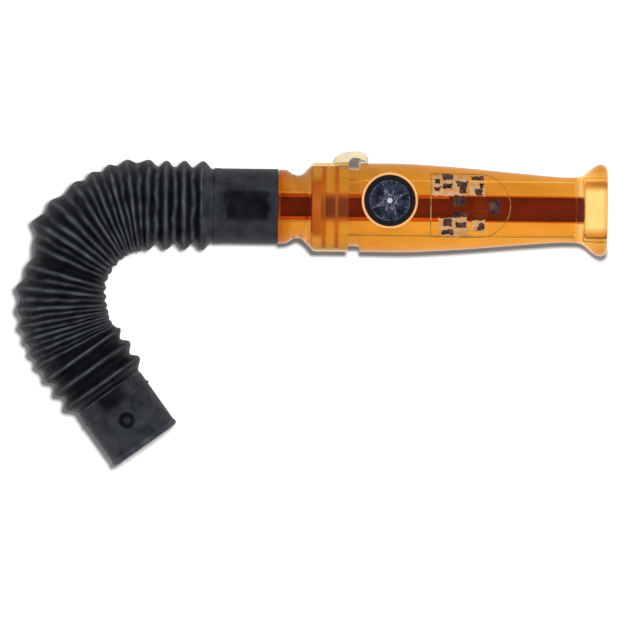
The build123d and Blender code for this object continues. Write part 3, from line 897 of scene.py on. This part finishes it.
# painted highlight on an ordinary valley's floor, wear and painted highlight over the whole first fold,
# and the first fold with narrow bright crests
VALLEY_SHEEN = 0.75
FIRST_WEAR_AND_LIGHT = 0.45
NARROW_FROM = 18
# how far the outer side of a rib is pushed in by the kink, or out if negative
KINKS = {9: -0.7, 10: -1.3, 11: 3.2, 12: 2.7}
# painted highlight on a fold's valley floor, where it differs
VALLEY_SHINE = {10: 0.5, 11: 0.0, 12: 0.5, 17: 0.4, 18: 0.0, 19: 0.0, 20: 0.0, 21: 0.3}
# ribs that stand out more than the others
BULGES = {4: 0.3, 5: 0.8, 6: 0.5, 7: 0.3, 8: 0.3, 9: 0.3, 10: 0.4, 13: 0.4, 14: 0.3, 15: 0.4,
          19: 0.6, 20: 0.6, 21: 0.4}


def route():
    """Centre and heading in degrees of the near cuff's end, each rib and the far cuff's start."""
    x, y, heading = NEAR_CUFF_END_X, 0.0, 0.0
    stations = [((x, y), heading)]
    for pitch, turn, lean in zip(PITCHES, TURNS, LEANS):
        direction = radians(heading + turn / 2 + lean)
        x -= pitch * cos(direction)
        y -= pitch * sin(direction)
        heading += turn
        stations.append(((x, y), heading))
    return stations


def station_axes(station):
    """Centre, forward direction and outward direction of a station, in millimetres."""
    (x, y), heading = station
    a = radians(heading)
    return Vector((x, y, 0)), Vector((-cos(a), -sin(a), 0)), Vector((-sin(a), cos(a), 0))


def rib_radius(index, angle):
    """Crest radius of a rib: a little uneven, and dented where the bend has kinked."""
    if index == 0 or index == len(PITCHES):
        return ROOT_R
    spot = Vector((cos(angle) * 1.1, sin(angle) * 1.1, index * 3.7))
    radius = RIB_R - 0.15 + RIB_UNEVEN * noise.noise(spot) + BULGES.get(index, 0.0)
    outer = max(cos(angle), 0.0) ** 3
    return radius - outer * KINKS.get(index, 0.0)


def rib_shift(index, angle):
    """How far a rib's crest wanders along the tube."""
    if index == 0 or index == len(PITCHES):
        return 0.0
    spot = Vector((cos(angle) * 0.9 + 7.0, sin(angle) * 0.9, index * 5.3))
    lobe = RIB_LEAN * max(cos(angle), 0.0) ** 3 if index in LEANING_RIBS else 0.0
    return RIB_WANDER * noise.noise(spot) + lobe


def crest_point(stations, index, angle, inset):
    """Point on a rib's crest, and the direction outward from the tube's centre there."""
    centre, forward, outward = station_axes(stations[index])
    spoke = outward * cos(angle) + Vector((0, 0, 1)) * sin(angle)
    radius = rib_radius(index, angle) - inset
    return centre + spoke * radius + forward * rib_shift(index, angle), spoke


def valley_share(s):
    """Depth of the fold at s from 0 to 1, as a share: a round crest and a wide valley."""
    return (0.5 - 0.5 * cos(2 * pi * s)) ** 1.1


def cuff_share(s, index):
    """Same for a fold that ends in a cuff: it falls from the rib and runs out level."""
    from_rib = 1 - s if index == 0 else s
    x = min(from_rib / 0.95, 1.0)
    return x * x * (3 - 2 * x)


def fold_depth(long, turn, angle):
    """Depth of a fold: shallow where its crests lie close, and where the bend pulls it open."""
    pulled = 0.5 * max(cos(angle), 0.0) * min(turn / 8.0, 1.0)
    return min(max(FOLD_SLOPE * long - 0.6, 0.15), FOLD_DEEPEST) * (1.0 - pulled)


def fold_surface(stations, index, inset, steps):
    """Rows of points from one crest to the next."""
    by_cuff = index == 0 or index == len(PITCHES) - 1
    rows = []
    for i in range(steps + 1):
        s = i / steps
        window = sin(pi * s) ** 2
        row = []
        for j in range(AROUND):
            angle = 2 * pi * j / AROUND
            a, spoke_a = crest_point(stations, index, angle, inset)
            b, spoke_b = crest_point(stations, index + 1, angle, inset)
            along = b - a
            inward = -(spoke_a + spoke_b).normalized()
            if by_cuff:
                drop = (RIB_R - ROOT_R) * (cuff_share(s, index) - (1 - s if index == 0 else s))
            else:
                drop = fold_depth(along.length, TURNS[index], angle) * valley_share(s)
            spot = Vector((cos(angle) * 7.0, sin(angle) * 7.0, index * 2.1 + s * 1.4))
            crease = 0.22 * noise.noise(spot) * window
            spot = Vector((cos(angle) * 2.4, sin(angle) * 2.4, index * 4.4 + 31.0))
            drift = 0.12 * noise.noise(spot) * window
            row.append(a + along * (s + drift) + inward * (drop + crease))
        rows.append(row)
    return rows


def make_fold(stations, index, mats):
    """One fold of the tube, from crest to crest, as a closed shell."""
    outer = fold_surface(stations, index, 0.0, FOLD_STEPS)
    inner = fold_surface(stations, index, WALL, INNER_STEPS)
    rows = outer + list(reversed(inner))
    vertices = [point for row in rows for point in row]
    piece = new_piece(f"hose_fold_{index:02d}", vertices, grid_faces(len(rows), AROUND), mats["rubber"],
                      slot="tube_rubber", sharp=70.0)
    paint_wear_and_light(piece, len(outer), index)
    half_turn = radians(TURNS[index] / 2)
    reach = PITCHES[index] * cos(radians(LEANS[index])) / 2 - RIB_R * sin(half_turn) - 0.35
    reach = max(reach, 0.3)
    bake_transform(piece)
    if index + 1 < len(PITCHES):
        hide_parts(f"hose_ring_{index + 1:02d}")


def paint_wear_and_light(piece, rows, index):
    """Wear and painted highlight: high on the crests, less on the valley's floor, and none on the
    flanks between.
    """
    values = [0.0] * len(piece.data.vertices)
    narrow = 4.0 if index >= NARROW_FROM else 2.4
    for i in range(rows):
        s = i / (rows - 1)
        # crests get wear with a painted highlight, valley floors a painted highlight only
        share = (0.5 + 0.5 * cos(4 * pi * s)) ** narrow
        if 0.25 < s < 0.75:
            share *= VALLEY_SHINE.get(index, VALLEY_SHEEN)
        if index == 0:
            share = FIRST_WEAR_AND_LIGHT
        for j in range(AROUND):
            angle = 2 * pi * j / AROUND
            spot = Vector((cos(angle) * 3.0, sin(angle) * 3.0, index * 2.7 + s))
            values[i * AROUND + j] = min(max(share * (1.0 + 0.9 * noise.noise(spot)), 0.0), 1.0)
    set_wear_and_light(piece, values)


def set_wear_and_light(piece, values):
    """Store the wear, painted highlight and painted shade of each vertex for the rubber's material."""
    worn = piece.data.attributes.new("worn", "FLOAT", "POINT")
    worn.data.foreach_set("value", values)


def soft_step(value, low, high):
    """0 below low, 1 above high, and smooth between."""
    t = min(max((value - low) / (high - low), 0.0), 1.0)
    return t * t * (3 - 2 * t)


def near_cuff_surface(along, angle):
    """Radius and wear of the near cuff: a faint sunk panel on top and a smooth end band."""
    radius, wear = CUFF_R, 0.36
    edge = min(along, NEAR_CUFF_LONG - along)
    radius -= max(0.0, 0.5 - edge) * 0.8
    middle, half_long, half_angle = NEAR_PANEL
    side = degrees(angle) - 90
    from_side = half_angle - abs(side + 1)
    if along >= NEAR_BAND:
        radius, wear = radius + 0.12, 0.40
    elif from_side > 0 and 1.6 < along < NEAR_BAND - 0.2:
        spot = Vector(((NEAR_CUFF_START_X - along) * 0.35, side * 0.06, 4.0))
        from_end = half_long - abs(along - middle) + 1.6 * noise.noise(spot)
        inside = soft_step(from_side, 2.0, 11.0) * soft_step(from_end, 0.6, 3.4)
        radius, wear = radius - 0.25 * inside, wear - 0.33 * inside
    return radius, wear


def far_cuff_surface(along, angle):
    """Radius and wear of the far cuff: a band, a round sunk mark, painted valley shade beside the last
    fold, and an end rim.
    """
    radius, wear = CUFF_R, 0.42
    if along < 0.6:
        radius = ROOT_R + (CUFF_R - ROOT_R) * along / 0.6
    if abs(along - FAR_BAND) < 0.6:
        radius, wear = CUFF_R + 0.5, 0.5
    if along > FAR_CUFF_LONG - FAR_RIM:
        radius, wear = CUFF_R + 0.3 - max(0.0, along - FAR_CUFF_LONG + 1.0) ** 2, 0.75
    across = (angle - pi / 2) * CUFF_R
    mark_along, mark_across, mark_radius = FAR_MARK
    ring = sqrt((along - mark_along) ** 2 + (across - mark_across) ** 2)
    sunk = soft_step(1.3 - abs(ring - mark_radius), 0.0, 0.7)
    radius, wear = radius - 0.35 * sunk, wear * (1.0 - sunk)
    # painted shade: darker at the cuff's start, beside the last fold's valley
    patch = soft_step(8.5 - abs(across), 0.0, 5.0) * soft_step(7.6 - along, 0.0, 3.0)
    return radius, wear * (1.0 - 0.9 * patch)


def make_cuff(name, node, body, station, long, bore, surface, mats):
    """Cuff that starts at a station: an outside with its own surface, and a plain bore."""
    centre, forward, outward = station_axes(station)
    vertices, wear = [], []
    for i in range(CUFF_STEPS + 3):
        for j in range(AROUND):
            angle = 2 * pi * j / AROUND
            if i <= CUFF_STEPS:
                along = long * i / CUFF_STEPS
                # one value for wear, with painted shade on the far cuff
                radius, rub = surface(along, angle)
            else:
                along, radius, rub = (long if i == CUFF_STEPS + 1 else 0.0), bore, 0.0
            spoke = outward * cos(angle) + Vector((0, 0, 1)) * sin(angle)
            vertices.append(centre + forward * along + spoke * radius)
            wear.append(rub)
    piece = new_piece(name, vertices, grid_faces(CUFF_STEPS + 3, AROUND), mats["rubber"], body=body,
                      slot="tube_rubber", sharp=60.0)
    set_wear_and_light(piece, wear)
    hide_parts(node)


def make_hose(mats):
    """Corrugated tube: its folds and its two cuffs."""
    stations = route()
    for index in range(len(PITCHES)):
        make_fold(stations, index, mats)
    start = ((NEAR_CUFF_START_X, 0.0), 0.0)
    make_cuff("near_cuff", "hose_near_cuff", "hose_cuff", start, NEAR_CUFF_LONG, NEAR_BORE_R,
              near_cuff_surface, mats)
    make_cuff("far_cuff_skin", "hose_far_cuff", "far_cuff", stations[-1], FAR_CUFF_LONG, FAR_BORE_R,
              far_cuff_surface, mats)


# ---- printed panel ----

# blocks of the print and the pale grounds under them, as (x0, y0, x1, y1)
PRINT_BLOCKS = [(-64.5, 11.4, -61.0, 13.1), (-64.3, 7.8, -61.2, 9.4), (-59.0, 8.9, -55.2, 10.4),
                (-57.7, 6.1, -55.5, 8.9), (-59.9, 1.0, -56.0, 4.6), (-59.9, -3.2, -55.5, -1.8),
                (-64.0, -6.8, -61.2, -4.4), (-59.0, -7.3, -55.7, -5.7), (-64.5, -10.1, -60.7, -8.7),
                (-53.2, 11.2, -48.9, 12.4), (-51.6, 5.4, -49.4, 7.4), (-50.0, 8.2, -48.7, 9.6),
                (-50.3, -8.2, -48.7, -6.0), (-46.1, -1.6, -42.6, 2.9), (-67.5, 9.7, -66.0, 11.2),
                (-67.6, 6.8, -65.9, 7.9)]
PRINT_GROUNDS = [(-68.6, 4.8, -64.7, 12.6), (-65.0, 4.8, -60.6, 11.3), (-60.9, 5.2, -54.9, 12.5),
                 (-54.3, 5.0, -48.2, 10.2), (-61.0, -4.9, -55.3, -3.6), (-60.7, -10.7, -54.4, -5.0),
                 (-66.2, -10.8, -60.3, -3.9), (-53.0, -9.2, -48.0, -4.6)]
PRINT_LEFT, PRINT_TOP, PRINT_BOTTOM, PRINT_ROUND_X = -69.2, 13.4, -11.2, -50.4
PRINT_LINE = 0.4
PRINT_ARC_STEPS = 60
PRINT_CELL = 0.4
PRINT_RAGGED = 0.7
# every print reaches this far down into the barrel, so that its edge leaves no gap
PRINT_ROOT = -0.3
# how far the pieces of the round end lap over each other
ARC_LAP = 1.3


def on_barrel(x, y, height):
    """Point over or under the barrel's upper face."""
    r = barrel_radius(x) + height
    return (x, y, sqrt(max(r * r - y * y, 0.0)))


def box_on_barrel(box, lift, ragged):
    """Vertices and faces of a thin patch that follows the barrel, with ragged edges."""
    x0, y0, x1, y1 = box
    nx = max(1, int((x1 - x0) / PRINT_CELL))
    ny = max(1, int((y1 - y0) / PRINT_CELL))
    vertices = []
    for level in (PRINT_ROOT, lift):
        for i in range(nx + 1):
            for j in range(ny + 1):
                x, y = x0 + (x1 - x0) * i / nx, y0 + (y1 - y0) * j / ny
                spot = Vector((x * 0.9, y * 0.9, 0.0))
                x += ragged * noise.noise(spot)
                y += ragged * noise.noise(spot + Vector((0, 0, 9.0)))
                vertices.append(on_barrel(x, y, level))
    row, layer = ny + 1, (nx + 1) * (ny + 1)
    corners = [layer + i * row + j for i in range(nx) for j in range(ny)]
    faces = [(a, a + row, a + row + 1, a + 1) for a in corners]
    edge = ([i * row for i in range(nx + 1)] + [nx * row + j for j in range(1, row)]
            + [i * row + ny for i in range(nx - 1, -1, -1)] + [j for j in range(ny - 1, 0, -1)])
    for a, b in zip(edge, edge[1:] + edge[:1]):
        faces.append((a, b, b + layer, a + layer))
    return vertices, faces


def make_print(name, boxes, ink, lift, ragged=PRINT_RAGGED, grow=0.0):
    """One ink of the print, as patches raised by a height."""
    vertices, faces = [], []
    for x0, y0, x1, y1 in boxes:
        start = len(vertices)
        points, quads = box_on_barrel((x0 - grow, y0 - grow, x1 + grow, y1 + grow), lift, ragged)
        vertices += points
        faces += [tuple(start + k for k in quad) for quad in quads]
    new_piece(name, vertices, faces, ink, body="barrel", slot="amber_plastic", sharp=40.0)


def make_label(mats):
    """Generic print on the barrel: ragged blocks on pale grounds, in a line with a round end."""
    make_print("print_grounds", PRINT_GROUNDS, mats["ink_cream"], 0.04)
    make_print("print_blocks", PRINT_BLOCKS, mats["ink_dark"], 0.08, grow=0.3)
    half = PRINT_LINE / 2
    middle, radius = (PRINT_TOP + PRINT_BOTTOM) / 2, (PRINT_TOP - PRINT_BOTTOM) / 2
    lines = [(PRINT_LEFT, y - half, PRINT_ROUND_X, y + half) for y in (PRINT_TOP, PRINT_BOTTOM)]
    lines.append((PRINT_LEFT - half, PRINT_BOTTOM, PRINT_LEFT + half, PRINT_TOP))
    for i in range(PRINT_ARC_STEPS):
        angle = -pi / 2 + pi * (i + 0.5) / PRINT_ARC_STEPS
        x, y = PRINT_ROUND_X + radius * cos(angle), middle + radius * sin(angle)
        lines.append((x - half, y - ARC_LAP * half, x + half, y + ARC_LAP * half))
    make_print("print_frame", lines, mats["ink_line"], 0.06, ragged=0.0)


# ---- inner pieces kept from the frame ----

# material of each of the frame's own nodes that stays
KEPT_NODES = {
    "tail_web": "web",
    "seal_ring_front": "seal",
    "seal_ring_rear": "seal",
    "tone_board": "black_plastic",
    "reed": "film",
    "reed_wedge": "cork",
    "tuning_ring": "seal",
    "compass_pivot": "bright_metal",
    "compass_magnet": "bright_metal",
}


def repaint(mats):
    """Better materials on the frame's own nodes that stay."""
    for node, key in KEPT_NODES.items():
        mesh = frame["nodes"][node].data
        mesh.materials.clear()
        mesh.materials.append(mats[key])
        frame["nodes"][node].visible_shadow = False


# ---- build ----

make_camera()
make_floor()
make_studio()
make_key_light()
MATS = make_materials()
make_barrel(MATS)
make_tubes(MATS)
make_compass(MATS)
make_dial(MATS)
make_connector(MATS)
make_lug(MATS)
make_hose(MATS)
make_label(MATS)
repaint(MATS)
hide_shadows()
make_rim_shade()
